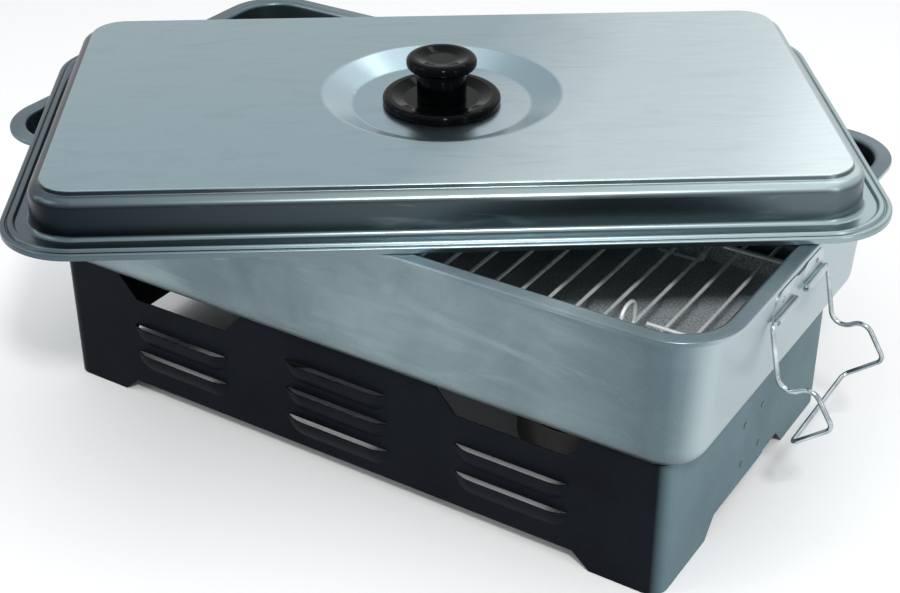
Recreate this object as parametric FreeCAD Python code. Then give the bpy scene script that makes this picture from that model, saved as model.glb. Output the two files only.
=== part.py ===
import FreeCAD, Part
import math
import os

# Stovetop smoker box: a louvred sheet steel stand with two spirit burners inside,
# a deep pan with a drip tray and a wire rack, two wire bails, and a loose lid
# that lies askew on the pan. Millimetres, +X along the long side, +Y to the
# back, +Z up, origin on the table under the middle of the stand.

# Stand
STAND_END_STEP = 24.0
STAND_SIDE_STEP = 20.0
BASE_HEIGHT = 77.0
BASE_SHEET = 0.8
BASE_CORNER = 9.0
BASE_END_DIP = 1.0
FLAP_FRONT_END = 20.0
FLAP_BACK_END = -18.0
FOOT_RISE = 8.6
FOOT_RISE_END = 10.5
FOOT_LONG = 38.0
FOOT_SHORT = 51.0
FOOT_SLANT = 9.5
NOTCH_DEPTH = 14.0
NOTCH_WIDTH = 85.5
NOTCH_SLANT = 12.5
NOTCH_FROM_END = 41.0

# Louvres of the stand
LOUVRE_WIDTH = 65.0
LOUVRE_DROP = 11.0
LOUVRE_BULGE = 4.0
LOUVRE_COLUMN_PITCH = 103.5
LOUVRE_ROW_PITCH = 17.0
LOUVRE_MIDDLE_TOP = 60.0
LOUVRE_SIDE_TOP = 47.0

# Weld marks
WELD_RADIUS = 1.8
WELD_HEIGHT = 0.25
BASE_WELD_LOW = 22.0
BASE_WELD_HIGH = 46.0
BASE_WELD_MARGIN = 8.0

# Pan
PAN_LENGTH = 420.0
PAN_WIDTH = 242.0
PAN_CORNER = 33.0
PAN_DEPTH = 78.7
PAN_SHEET = 0.8
PAN_HEM = 2.4
PAN_HEM_ROUND = 1.2
PAN_FLANGE = 8.0
PAN_NECK_ROUND = 2.5
PAN_WALL_LEAN = 4.5
PAN_FLOOR_ROUND = 13.0
PAN_SEAT_GAP = 0.05

# Bail and its hinge
BAIL_WIRE = 2.5
BAIL_SIDE_GAP = 3.45
BAIL_PIVOT_DROP = 32.1
BAIL_KNEE = (7.2, -35.6)
BAIL_HUMP = (23.2, -25.9)
BAIL_TIP = (34.9, -44.8)
BAIL_GRIP = (16.0, -60.0)
BAIL_KNEE_ROUND = 7.0
BAIL_HUMP_ROUND = 6.5
BAIL_TIP_ROUND = 4.0
BAIL_GRIP_ROUND = 3.5
BAIL_SHOULDER_ROUND = 3.0
HINGE_PLATE_HALF = 30.0
HINGE_PLATE_RISE = 13.5
HINGE_PLATE_CORNER = 8.0
HINGE_DIP = 1.8
HINGE_DIP_HALF = 8.0
HINGE_DIP_FLOOR_HALF = 4.0
HINGE_DIP_ROUND = 2.0
HINGE_SHEET = 0.8
HINGE_GAP_HALF = 6.0
HINGE_FIT = 0.08
PIN_SHORT = 2.0
HINGE_WELD_ROW = 7.2
HINGE_WELD_MARGIN = 9.0

# Drip tray
TRAY_END_CLEARANCE = 8.2
TRAY_SIDE_CLEARANCE = 7.2
TRAY_CORNER = 18.0
TRAY_SHEET = 0.6
TRAY_HEIGHT = 9.0
TRAY_LIP = 3.0
TRAY_WALL_LEAN = 3.0
TRAY_FLOOR_ROUND = 2.5
TRAY_LIP_ROUND = 0.4

# Rack
RACK_WIRE = 2.0
RAIL_WIRE = 3.0
RACK_HEIGHT = 30.5
CROSS_COUNT = 23
RACK_SIDE_CLEARANCE = 9.5
RACK_END_CLEARANCE = 17.1
RAIL_FROM_TRAY_EDGE = 13.0
BOW_REACH = 13.3
BOW_TAIL = 8.0
BOW_HALF_WIDTH = 44.5
BOW_ROUND = 5.0
LOOP_WIRE_INDEX = 9
LOOP_PLACE = 51.0
LOOP_SPREAD = 15.0
LOOP_HEIGHT = 13.0
LEG_WIRE_INDEX = 7
LEG_SPREAD = 30.0
LEG_ROUND = 5.0

# Lid
LID_END_OVERHANG = 1.5
LID_SIDE_OVERHANG = 5.0
LID_CORNER = 38.0
LID_SHEET = 0.8
LID_HEIGHT = 25.0
LID_LIP = 3.2
LID_LIP_WIDTH = 2.4
LID_GROOVE = 2.2
LID_GROOVE_PLACE = 3.2
LID_BEAD = 3.9
LID_BEAD_START = 4.2
LID_BEAD_END = 6.2
LID_LEDGE = 2.6
LID_LEDGE_START = 7.4
LID_LEDGE_END = 14.2
LID_WALL_LEAN = 1.0
LID_WALL_FOOT_ROUND = 2.5
LID_SHOULDER = 21.3
LID_SHOULDER_ROUND = 4.5
LID_CREASE = 22.6
LID_CREASE_PLACE = 20.2
LID_TOP_START = 20.9
LID_RING_END = 24.0
LID_REST_GAP = 0.3
LID_YAW = 35.0
DISH_RADIUS = 61.0
DISH_FLOOR_RADIUS = 46.5
DISH_DEPTH = 6.2
DISH_EDGE_ROUND = 3.0

# Knob
SKIRT_RADIUS = 30.5
SKIRT_HEIGHT = 4.6
SKIRT_RIM = 4.5
SKIRT_RIM_ROUND = 2.2
SKIRT_DISH = 2.2
SKIRT_SLOPE = 6.5
STEM_RADIUS = 12.8
HEAD_RADIUS = 18.1
HEAD_HEIGHT = 6.5
HEAD_UNDER_SLOPE = 0.8
HEAD_UNDER_ROUND = 2.2
HEAD_TOP_ROUND = 2.8
HEAD_RIM = 4.2
HEAD_DISH = 1.6
HEAD_DISH_SLOPE = 6.0
KNOB_HEIGHT = 25.2
SCREW_RADIUS = 2.5
SCREW_HOLE_FIT = 0.25
SCREW_HEAD_RADIUS = 4.6
SCREW_HEAD_HEIGHT = 2.6
SCREW_HEAD_ROUND = 1.4
SCREW_REACH = 15.0
SCREW_SLOT = 1.0
SCREW_SLOT_DEPTH = 1.2
WASHER_RADIUS = 7.0
WASHER_SHEET = 1.0
INSERT_RADIUS = 4.5
INSERT_LENGTH = 10.0
BORE_SPARE = 1.0
KNOB_FIT = 0.02

# Burner
BURNER_PLACE = 93.0
BURNER_RADIUS = 38.0
BURNER_HEIGHT = 26.0
BURNER_SHEET = 0.6
BURNER_FLOOR_ROUND = 4.0
BURNER_LIP = 2.6
PAD_HEIGHT = 16.0
PAD_GAP = 0.3
GRILLE_DISH = 3.0
GRILLE_HOLE_RADIUS = 1.8
GRILLE_HOLE_PITCH = 7.6
GRILLE_RING_COUNT = 3
GRILLE_RING_START = 9.0
GRILLE_RING_PITCH = 8.0

UP = FreeCAD.Vector(0, 0, 1)
ALONG_X = FreeCAD.Vector(1, 0, 0)
ALONG_Y = FreeCAD.Vector(0, 1, 0)


def vec(x, y, z):
    return FreeCAD.Vector(x, y, z)


# Rounded outlines

def corner_arc(before, corner, after, radius):
    """Start, middle and end of the arc that rounds one corner, or the corner alone."""
    if radius <= 0:
        return [corner]
    to_before = (before - corner).normalize()
    to_after = (after - corner).normalize()
    half = to_before.getAngle(to_after) / 2
    reach = radius / math.tan(half)
    bisector = (to_before + to_after).normalize()
    centre = corner + bisector * (radius / math.sin(half))
    middle = centre - bisector * radius
    return [corner + to_before * reach, middle, corner + to_after * reach]


def rounded_path(points, radii, closed=False):
    """Wire through points, each corner rounded by its own radius."""
    count = len(points)
    stops = []
    for i in range(count):
        ends = not closed and i in (0, count - 1)
        before = points[i - 1]
        after = points[(i + 1) % count]
        radius = 0 if ends else radii[i]
        stops.append(corner_arc(before, points[i], after, radius))
    edges = []
    for i in range(count):
        if len(stops[i]) == 3:
            edges.append(Part.Arc(*stops[i]).toShape())
        if closed or i < count - 1:
            start = stops[i][-1]
            end = stops[(i + 1) % count][0]
            if (end - start).Length > 1e-6:
                edges.append(Part.makeLine(start, end))
    return Part.Wire(edges)


def profile_face(points):
    """Face in the XZ plane from (x, z, corner radius) points."""
    places = [vec(x, 0, z) for x, z, _ in points]
    return Part.Face(rounded_path(places, [r for _, _, r in points], closed=True))


def offset_side(points, thickness):
    """The other side of a sheet: the path moved to its right by the thickness."""
    moved = []
    count = len(points)
    for i, (x, z, radius) in enumerate(points):
        here = vec(x, 0, z)
        ways = []
        if i > 0:
            ways.append((here - vec(points[i - 1][0], 0, points[i - 1][1])).normalize())
        if i < count - 1:
            ways.append((vec(points[i + 1][0], 0, points[i + 1][1]) - here).normalize())
        rights = [vec(way.z, 0, -way.x) for way in ways]
        if len(rights) == 1:
            shift = rights[0] * thickness
            turn = 0
        else:
            total = rights[0] + rights[1]
            shift = total * (thickness / (1 + rights[0].dot(rights[1])))
            turn = ways[0].x * ways[1].z - ways[0].z * ways[1].x
        inner = radius + math.copysign(thickness, turn) if turn and radius else radius
        moved.append((x + shift.x, z + shift.z, max(inner, 0)))
    return moved


def sheet_profile(points, thickness):
    """Closed section of a bent sheet whose left side follows the points."""
    other = offset_side(points, thickness)
    return profile_face(points + other[::-1])


def wire_solid(path, diameter):
    """Round wire along a path."""
    start = path.OrderedVertexes[0].Point
    tangent = path.OrderedEdges[0].tangentAt(path.OrderedEdges[0].FirstParameter)
    if (path.OrderedEdges[0].valueAt(path.OrderedEdges[0].FirstParameter) - start).Length > 1e-4:
        tangent = path.OrderedEdges[0].tangentAt(path.OrderedEdges[0].LastParameter) * -1
    section = Part.Wire([Part.makeCircle(diameter / 2, start, tangent)])
    return path.makePipeShell([section], True, False)


def rod(start, end, diameter):
    """Straight round wire."""
    way = end - start
    return Part.makeCylinder(diameter / 2, way.Length, start, way)


# Rounded rectangles

def rounded_plate(length, width, corner, height, bottom):
    """Flat plate with rounded corners."""
    x = length / 2
    y = width / 2
    places = [vec(-x, -y, bottom), vec(x, -y, bottom), vec(x, y, bottom), vec(-x, y, bottom)]
    face = Part.Face(rounded_path(places, [corner] * 4, closed=True))
    return face.extrude(UP * height)


def swept_rim(section, length, width, corner):
    """Section carried round a rounded rectangle.

    The section lies in the XZ plane with x measured outwards from the axis of a
    corner, so x = corner is the outer edge of the rectangle.
    """
    x = length / 2 - corner
    y = width / 2 - corner
    centres = (vec(x, y, 0), vec(-x, y, 0), vec(-x, -y, 0), vec(x, -y, 0))
    runs = (2 * y, 2 * x, 2 * y, 2 * x)
    pieces = []
    for i, centre in enumerate(centres):
        face = section.copy()
        face.rotate(vec(0, 0, 0), UP, 90 * i)
        along = FreeCAD.Rotation(UP, 90 * i).multVec(ALONG_Y)
        turned = face.revolve(vec(0, 0, 0), UP, 90)
        straight = face.extrude(along * -runs[i])
        for piece in (turned, straight):
            piece.translate(centre)
            pieces.append(piece)
    return pieces


def join(pieces):
    """One solid from pieces that meet."""
    whole = pieces[0].multiFuse(pieces[1:]).removeSplitter()
    return whole.Solids[0] if len(whole.Solids) == 1 else whole


def from_edge(points, corner):
    """Points given inwards from the rectangle's edge, as distances from the corner axis."""
    return [(corner - w, z, r) for w, z, r in points]


def rim_section(path, thickness, corner):
    """Section of a sheet laid on the right of a path given inwards from the edge."""
    other = offset_side(path, thickness)
    return profile_face(from_edge(path + other[::-1], corner))


# Sizes and heights that follow from the fits

def pan_floor_centre():
    """Distance from the rim's edge to the axis of the round at the pan's floor."""
    lean = math.atan(PAN_WALL_LEAN / PAN_DEPTH)
    reach = PAN_FLOOR_ROUND * math.tan((math.pi / 2 - lean) / 2)
    return PAN_FLANGE + PAN_WALL_LEAN + reach


BASE_LENGTH = PAN_LENGTH - 2 * STAND_END_STEP
BASE_WIDTH = PAN_WIDTH - 2 * STAND_SIDE_STEP
PAN_SIDE_STEP = pan_floor_centre() - STAND_SIDE_STEP - BASE_SHEET
PAN_SINK = PAN_FLOOR_ROUND - math.sqrt(PAN_FLOOR_ROUND ** 2 - PAN_SIDE_STEP ** 2)
PAN_UNDERSIDE = BASE_HEIGHT + PAN_SEAT_GAP - PAN_SINK
PAN_FLOOR = PAN_UNDERSIDE + PAN_SHEET
RIM_TOP = PAN_UNDERSIDE + PAN_DEPTH
TRAY_FLOOR = PAN_FLOOR + TRAY_SHEET
CROSS_LEVEL = TRAY_FLOOR + RACK_HEIGHT
RAIL_LEVEL = CROSS_LEVEL - (RACK_WIRE + RAIL_WIRE) / 2
LID_BOTTOM = RIM_TOP + LID_REST_GAP
LID_TOP = LID_BOTTOM + LID_HEIGHT
DISH_FLOOR = LID_TOP - DISH_DEPTH
BAIL_PIVOT_LEVEL = RIM_TOP - BAIL_PIVOT_DROP
LID_LENGTH = PAN_LENGTH + 2 * LID_END_OVERHANG
LID_WIDTH = PAN_WIDTH + 2 * LID_SIDE_OVERHANG
TRAY_LENGTH = PAN_LENGTH - 2 * (pan_floor_centre() + TRAY_END_CLEARANCE)
TRAY_WIDTH = PAN_WIDTH - 2 * (pan_floor_centre() + TRAY_SIDE_CLEARANCE)


def pan_wall_inset(level):
    """Distance from the rim's edge in to the outer face of the wall at a height."""
    return PAN_FLANGE + PAN_WALL_LEAN * (RIM_TOP - level) / PAN_DEPTH


def pan_wall_x(level):
    """Outer face of the pan's end wall at a height."""
    return PAN_LENGTH / 2 - pan_wall_inset(level)


BAIL_PIVOT_X = pan_wall_x(BAIL_PIVOT_LEVEL) + HINGE_SHEET + BAIL_WIRE / 2 + HINGE_FIT
BAIL_HALF_WIDTH = HINGE_PLATE_HALF + BAIL_SIDE_GAP + BAIL_WIRE / 2
PIN_END = HINGE_GAP_HALF + PIN_SHORT
RAIL_PLACE = TRAY_WIDTH / 2 - RAIL_FROM_TRAY_EDGE
CROSS_HALF_LENGTH = (PAN_WIDTH / 2 - pan_wall_inset(CROSS_LEVEL) - PAN_SHEET
                     - RACK_SIDE_CLEARANCE)
BOW_LEVEL = CROSS_LEVEL + RACK_WIRE
BOW_END = pan_wall_x(BOW_LEVEL) - PAN_SHEET - RACK_END_CLEARANCE - RACK_WIRE / 2
CROSS_PITCH = 2 * (BOW_END - BOW_REACH) / (CROSS_COUNT - 1)


# Stand

def stand_ring(length, width, corner):
    """Upright strip bent round a rectangle."""
    outer = rounded_plate(length, width, corner, BASE_HEIGHT, 0)
    inner = rounded_plate(length - 2 * BASE_SHEET, width - 2 * BASE_SHEET,
                          corner - BASE_SHEET, BASE_HEIGHT, 0)
    return outer.cut(inner)


def trapezium(half_bottom, half_top, bottom, top, depth):
    """Prism across the stand with slanted ends."""
    places = [vec(-half_bottom, -depth / 2, bottom), vec(half_bottom, -depth / 2, bottom),
              vec(half_top, -depth / 2, top), vec(-half_top, -depth / 2, top)]
    return Part.Face(Part.makePolygon(places + places[:1])).extrude(ALONG_Y * depth)


def foot_gaps():
    """Space under the walls between the feet."""
    gap = BASE_LENGTH / 2 - FOOT_LONG
    long_side = trapezium(gap, gap - FOOT_SLANT, 0, FOOT_RISE, 2 * BASE_WIDTH)
    gap = BASE_WIDTH / 2 - FOOT_SHORT
    short_side = trapezium(gap, gap - FOOT_SLANT, 0, FOOT_RISE_END, 2 * BASE_LENGTH)
    short_side.rotate(vec(0, 0, 0), UP, 90)
    return [long_side, short_side]


def top_notches():
    """Air notches in the top edge of the long walls."""
    cuts = []
    half = NOTCH_WIDTH / 2
    place = BASE_LENGTH / 2 - NOTCH_FROM_END - half
    for side in (-1, 1):
        cut = trapezium(half - NOTCH_SLANT, half, BASE_HEIGHT - NOTCH_DEPTH, BASE_HEIGHT,
                        2 * BASE_WIDTH)
        cut.translate(ALONG_X * (side * place))
        cuts.append(cut)
    return cuts


def end_dips():
    """Lowered top edge of the short walls, clear of the pan's floor."""
    start = BASE_LENGTH / 2 - BASE_CORNER
    cuts = []
    for x in (-start - BASE_CORNER - 1, start):
        cuts.append(Part.makeBox(BASE_CORNER + 1, BASE_WIDTH + 2, BASE_END_DIP + 1,
                                 vec(x, -BASE_WIDTH / 2 - 1, BASE_HEIGHT - BASE_END_DIP)))
    return cuts


def capsule(radius, length, centre):
    """Round-ended bar along X."""
    bar = Part.makeCylinder(radius, length, centre - ALONG_X * (length / 2), ALONG_X)
    ends = [Part.makeSphere(radius, centre + ALONG_X * (side * length / 2)) for side in (-1, 1)]
    return bar.multiFuse(ends)


def louvre(x, top):
    """Pressed hood on the front wall, open along its top edge, and the hole behind it."""
    reach = LOUVRE_DROP ** 2 / LOUVRE_BULGE
    radius = (reach + LOUVRE_BULGE) / 2
    inset = (reach - LOUVRE_BULGE) / 2
    face = -BASE_WIDTH / 2
    centre = vec(x, face + inset, top)
    straight = LOUVRE_WIDTH - 2 * LOUVRE_DROP
    outer = capsule(radius, straight, centre)
    inner = capsule(radius - BASE_SHEET, straight, centre)
    below = Part.makeBox(2 * LOUVRE_WIDTH, LOUVRE_BULGE + BASE_SHEET, 2 * LOUVRE_DROP,
                         vec(x - LOUVRE_WIDTH, face - LOUVRE_BULGE, top - 2 * LOUVRE_DROP))
    return outer.cut(inner).common(below), inner.common(below)


def louvre_places():
    """Column and top edge of every louvre on one wall."""
    places = [(0, LOUVRE_MIDDLE_TOP - i * LOUVRE_ROW_PITCH) for i in range(3)]
    for side in (-1, 1):
        for i in range(2):
            places.append((side * LOUVRE_COLUMN_PITCH, LOUVRE_SIDE_TOP - i * LOUVRE_ROW_PITCH))
    return places


def stand_half(length, width, corner, keep):
    """One half of the stand: the part of the ring inside the keep box."""
    half = stand_ring(length, width, corner).common(keep)
    half = half.cut(foot_gaps() + top_notches() + end_dips())
    hoods = []
    holes = []
    for x, top in louvre_places():
        hood, hole = louvre(x, top)
        hoods.append(hood)
        holes.append(hole)
    return half, hoods, holes


def stand_front():
    """Front wall with its two end flaps."""
    keep = Part.makeBox(BASE_LENGTH, BASE_WIDTH / 2 + FLAP_FRONT_END, BASE_HEIGHT,
                        vec(-BASE_LENGTH / 2, -BASE_WIDTH / 2, 0))
    half, hoods, holes = stand_half(BASE_LENGTH, BASE_WIDTH, BASE_CORNER, keep)
    return half.cut(holes).multiFuse(hoods).removeSplitter()


def stand_back():
    """Back wall, whose end flaps lie inside the front's."""
    keep = Part.makeBox(BASE_LENGTH, BASE_WIDTH / 2 - FLAP_BACK_END, BASE_HEIGHT,
                        vec(-BASE_LENGTH / 2, FLAP_BACK_END, 0))
    half, hoods, holes = stand_half(BASE_LENGTH - 2 * BASE_SHEET, BASE_WIDTH, BASE_CORNER, keep)
    turn = [piece.mirror(vec(0, 0, 0), ALONG_Y) for piece in hoods + holes]
    hoods = turn[:len(hoods)]
    holes = turn[len(hoods):]
    return half.cut(holes).multiFuse(hoods).removeSplitter()


def stand_welds():
    """Spot weld marks where the flaps overlap."""
    marks = []
    columns = (FLAP_BACK_END + BASE_WELD_MARGIN, FLAP_FRONT_END - BASE_WELD_MARGIN)
    for side in (-1, 1):
        for y in columns:
            for z in (BASE_WELD_LOW, BASE_WELD_HIGH):
                place = vec(side * BASE_LENGTH / 2, y, z)
                marks.append(Part.makeCylinder(WELD_RADIUS, WELD_HEIGHT, place, ALONG_X * side))
    return Part.makeCompound(marks)


# Pan

def pan():
    """Deep-drawn pan with a flat flange, a turned-down hem and a round floor edge."""
    skin = PAN_SHEET
    foot = PAN_FLANGE + PAN_WALL_LEAN + skin
    inset = pan_floor_centre() + 2.0
    path = [(0, RIM_TOP - PAN_HEM, 0),
            (0, RIM_TOP, PAN_HEM_ROUND),
            (PAN_FLANGE + skin, RIM_TOP, PAN_NECK_ROUND),
            (foot, PAN_FLOOR, PAN_FLOOR_ROUND - skin),
            (inset, PAN_FLOOR, 0)]
    section = rim_section(path, skin, PAN_CORNER)
    floor = rounded_plate(PAN_LENGTH - 2 * inset, PAN_WIDTH - 2 * inset, PAN_CORNER - inset,
                          skin, PAN_UNDERSIDE)
    return join(swept_rim(section, PAN_LENGTH, PAN_WIDTH, PAN_CORNER) + [floor])


# Bails and hinges

def bail(side):
    """Wire bail on one end of the pan, hanging."""
    def at(place, y):
        return vec(side * (BAIL_PIVOT_X + place[0]), y, BAIL_PIVOT_LEVEL + place[1])

    half = BAIL_HALF_WIDTH
    pivot = (0, 0)
    points = [at(pivot, -PIN_END), at(pivot, -half), at(BAIL_KNEE, -half), at(BAIL_HUMP, -half),
              at(BAIL_TIP, -half), at(BAIL_GRIP, -half), at(BAIL_GRIP, half), at(BAIL_TIP, half),
              at(BAIL_HUMP, half), at(BAIL_KNEE, half), at(pivot, half), at(pivot, PIN_END)]
    rounds = [0, BAIL_SHOULDER_ROUND, BAIL_KNEE_ROUND, BAIL_HUMP_ROUND, BAIL_TIP_ROUND,
              BAIL_GRIP_ROUND]
    return wire_solid(rounded_path(points, rounds + rounds[::-1]), BAIL_WIRE)


def wall_slab(inner, outer, low, high):
    """Slab along the pan's end wall, between two distances out from its face."""
    places = [vec(pan_wall_x(low) + inner, 0, low), vec(pan_wall_x(low) + outer, 0, low),
              vec(pan_wall_x(high) + outer, 0, high), vec(pan_wall_x(high) + inner, 0, high)]
    slab = Part.Face(Part.makePolygon(places + places[:1])).extrude(ALONG_Y * 2 * HINGE_PLATE_HALF)
    slab.translate(ALONG_Y * -HINGE_PLATE_HALF)
    return slab


def hinge_outline(low, high):
    """Prism with the plate's rounded upper corners and the dip in its top edge."""
    half = HINGE_PLATE_HALF
    corners = [(half, high, HINGE_PLATE_CORNER),
               (HINGE_DIP_HALF, high, HINGE_DIP_ROUND),
               (HINGE_DIP_FLOOR_HALF, high - HINGE_DIP, HINGE_DIP_ROUND)]
    points = [(-half, low, 0), (half, low, 0)] + corners
    points += [(-y, z, r) for y, z, r in corners[::-1]]
    path = rounded_path([vec(0, y, z) for y, z, _ in points], [r for _, _, r in points],
                        closed=True)
    return Part.Face(path).extrude(ALONG_X * PAN_LENGTH)


def hinge_plate(side):
    """Plate on the end wall with two rolled knuckles for the bail's pins."""
    low = BAIL_PIVOT_LEVEL
    high = low + HINGE_PLATE_RISE
    half = HINGE_PLATE_HALF
    plate = wall_slab(0, HINGE_SHEET, low, high).common(hinge_outline(low, high))
    bore = BAIL_WIRE / 2 + HINGE_FIT
    radius = bore + HINGE_SHEET
    start = vec(BAIL_PIVOT_X, -half, low)
    roll = Part.makeCylinder(radius, 2 * half, start, ALONG_Y)
    hole = Part.makeCylinder(bore, 2 * half, start, ALONG_Y)
    gap = Part.makeBox(3 * radius, 2 * HINGE_GAP_HALF, 3 * radius,
                       vec(pan_wall_x(low), -HINGE_GAP_HALF, low - 1.5 * radius))
    wall = wall_slab(-radius, 0, low - 2 * radius, low + 2 * radius)
    whole = plate.fuse(roll.cut(wall)).cut([hole, gap]).removeSplitter()
    if side < 0:
        whole = whole.mirror(vec(0, 0, 0), ALONG_X)
    return whole


def hinge_welds():
    """Spot weld marks of both hinge plates."""
    marks = []
    level = BAIL_PIVOT_LEVEL + HINGE_WELD_ROW
    column = HINGE_PLATE_HALF - HINGE_WELD_MARGIN
    lean = math.degrees(math.atan(PAN_WALL_LEAN / PAN_DEPTH))
    for side in (-1, 1):
        for y in (-column, column):
            place = vec(side * (pan_wall_x(level) + HINGE_SHEET), y, level)
            way = FreeCAD.Rotation(ALONG_Y, side * lean).multVec(ALONG_X * side)
            marks.append(Part.makeCylinder(WELD_RADIUS, WELD_HEIGHT, place, way))
    return Part.makeCompound(marks)


# Drip tray

def drip_tray():
    """Shallow tray on the pan's floor."""
    top = PAN_FLOOR + TRAY_HEIGHT
    skin = TRAY_SHEET
    inset = TRAY_CORNER - 1.0
    path = [(0, top, 0),
            (TRAY_LIP + skin, top, skin + TRAY_LIP_ROUND),
            (TRAY_LIP + TRAY_WALL_LEAN + skin, TRAY_FLOOR, TRAY_FLOOR_ROUND),
            (inset, TRAY_FLOOR, 0)]
    section = rim_section(path, skin, TRAY_CORNER)
    floor = rounded_plate(TRAY_LENGTH - 2 * inset, TRAY_WIDTH - 2 * inset, TRAY_CORNER - inset,
                          skin, PAN_FLOOR)
    return join(swept_rim(section, TRAY_LENGTH, TRAY_WIDTH, TRAY_CORNER) + [floor])


# Rack

def rack_cross_wires():
    """Parallel wires across the rack."""
    wires = []
    for i in range(CROSS_COUNT):
        x = (i - (CROSS_COUNT - 1) / 2) * CROSS_PITCH
        wires.append(rod(vec(x, -CROSS_HALF_LENGTH, CROSS_LEVEL),
                         vec(x, CROSS_HALF_LENGTH, CROSS_LEVEL), RACK_WIRE))
    return Part.makeCompound(wires)


def rack_rails():
    """Long wires under the cross wires."""
    reach = (CROSS_COUNT - 1) / 2 * CROSS_PITCH + RACK_WIRE
    rails = []
    for y in (-RAIL_PLACE, RAIL_PLACE):
        rails.append(rod(vec(-reach, y, RAIL_LEVEL), vec(reach, y, RAIL_LEVEL), RAIL_WIRE))
    return Part.makeCompound(rails)


def rack_end_bows():
    """Wire bow on top of the last cross wires at each end."""
    level = BOW_LEVEL
    start = ((CROSS_COUNT - 1) / 2 - 1) * CROSS_PITCH - BOW_TAIL
    bows = []
    for side in (-1, 1):
        points = [vec(side * start, -BOW_HALF_WIDTH, level),
                  vec(side * BOW_END, -BOW_HALF_WIDTH, level),
                  vec(side * BOW_END, BOW_HALF_WIDTH, level),
                  vec(side * start, BOW_HALF_WIDTH, level)]
        bows.append(wire_solid(rounded_path(points, [0, BOW_ROUND, BOW_ROUND, 0]), RACK_WIRE))
    return Part.makeCompound(bows)


def upright_loop(x, y, bottom, top, spread, corner):
    """Wire arch that stands on one cross wire."""
    half = spread / 2
    points = [vec(x, y - half, bottom), vec(x, y - half, top), vec(x, y + half, top),
              vec(x, y + half, bottom)]
    return wire_solid(rounded_path(points, [0, corner, corner, 0]), RACK_WIRE)


def rack_loops():
    """Four lifting loops that stand on the cross wires."""
    bottom = CROSS_LEVEL + RACK_WIRE / 2
    loops = []
    for side in (-1, 1):
        for y in (-LOOP_PLACE, LOOP_PLACE):
            loops.append(upright_loop(side * LOOP_WIRE_INDEX * CROSS_PITCH, y, bottom,
                                      bottom + LOOP_HEIGHT, LOOP_SPREAD,
                                      LOOP_SPREAD / 2 - RACK_WIRE / 2))
    return Part.makeCompound(loops)


def rack_legs():
    """Four wire legs from the rails down to the tray."""
    top = RAIL_LEVEL - RAIL_WIRE / 2
    bottom = TRAY_FLOOR + RACK_WIRE / 2
    half = LEG_SPREAD / 2
    place = LEG_WIRE_INDEX * CROSS_PITCH
    legs = []
    for x in (-place, place):
        for y in (-RAIL_PLACE, RAIL_PLACE):
            points = [vec(x - half, y, top), vec(x - half, y, bottom), vec(x + half, y, bottom),
                      vec(x + half, y, top)]
            path = rounded_path(points, [0, LEG_ROUND, LEG_ROUND, 0])
            legs.append(wire_solid(path, RACK_WIRE))
    return Part.makeCompound(legs)


# Lid

def lid():
    """Pressed lid: rolled lip, bead, ledge, wall, shoulder and a dished top."""
    base = LID_BOTTOM
    wall_foot = LID_LEDGE_END
    wall_top = wall_foot + LID_WALL_LEAN
    path = [(0, base, 0),
            (0, base + LID_LIP, 1.2),
            (LID_LIP_WIDTH, base + LID_LIP, 0.95),
            (LID_GROOVE_PLACE, base + LID_GROOVE, 0.3),
            (LID_BEAD_START, base + LID_BEAD, 1.0),
            (LID_BEAD_END, base + LID_BEAD, 1.0),
            (LID_LEDGE_START, base + LID_LEDGE, 0.5),
            (wall_foot, base + LID_LEDGE, LID_WALL_FOOT_ROUND),
            (wall_top, base + LID_SHOULDER, LID_SHOULDER_ROUND),
            (LID_CREASE_PLACE, base + LID_CREASE, 0.6),
            (LID_TOP_START, LID_TOP, 1.0),
            (LID_RING_END, LID_TOP, 0)]
    section = rim_section(path, LID_SHEET, LID_CORNER)
    ring = swept_rim(section, LID_LENGTH, LID_WIDTH, LID_CORNER)
    panel = rounded_plate(LID_LENGTH - 2 * LID_RING_END, LID_WIDTH - 2 * LID_RING_END,
                          LID_CORNER - LID_RING_END, LID_SHEET, LID_TOP - LID_SHEET)
    outer = DISH_RADIUS + DISH_EDGE_ROUND
    panel = panel.cut(Part.makeCylinder(outer, 4 * LID_SHEET, vec(0, 0, LID_TOP - 2 * LID_SHEET)))
    dish_path = [(-outer, LID_TOP, 0),
                 (-DISH_RADIUS, LID_TOP, DISH_EDGE_ROUND),
                 (-DISH_FLOOR_RADIUS, DISH_FLOOR, DISH_EDGE_ROUND),
                 (-SCREW_RADIUS - SCREW_HOLE_FIT, DISH_FLOOR, 0)]
    dish = sheet_profile(dish_path, LID_SHEET).revolve(vec(0, 0, 0), UP, 360)
    whole = join(ring + [panel, dish])
    whole.rotate(vec(0, 0, 0), UP, LID_YAW)
    return whole


# Knob

def knob_skirt():
    """Round foot of the knob with a thick rim and a dished top."""
    base = DISH_FLOOR
    hole = SCREW_RADIUS + SCREW_HOLE_FIT
    rim = SKIRT_RADIUS - SKIRT_RIM
    points = [(hole, base, 0),
              (SKIRT_RADIUS, base, 0.8),
              (SKIRT_RADIUS, base + SKIRT_HEIGHT, SKIRT_RIM_ROUND),
              (rim, base + SKIRT_HEIGHT, 1.5),
              (rim - SKIRT_SLOPE, base + SKIRT_HEIGHT - SKIRT_DISH, 3.0),
              (hole, base + SKIRT_HEIGHT - SKIRT_DISH, 0)]
    return profile_face(points).revolve(vec(0, 0, 0), UP, 360)


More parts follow.
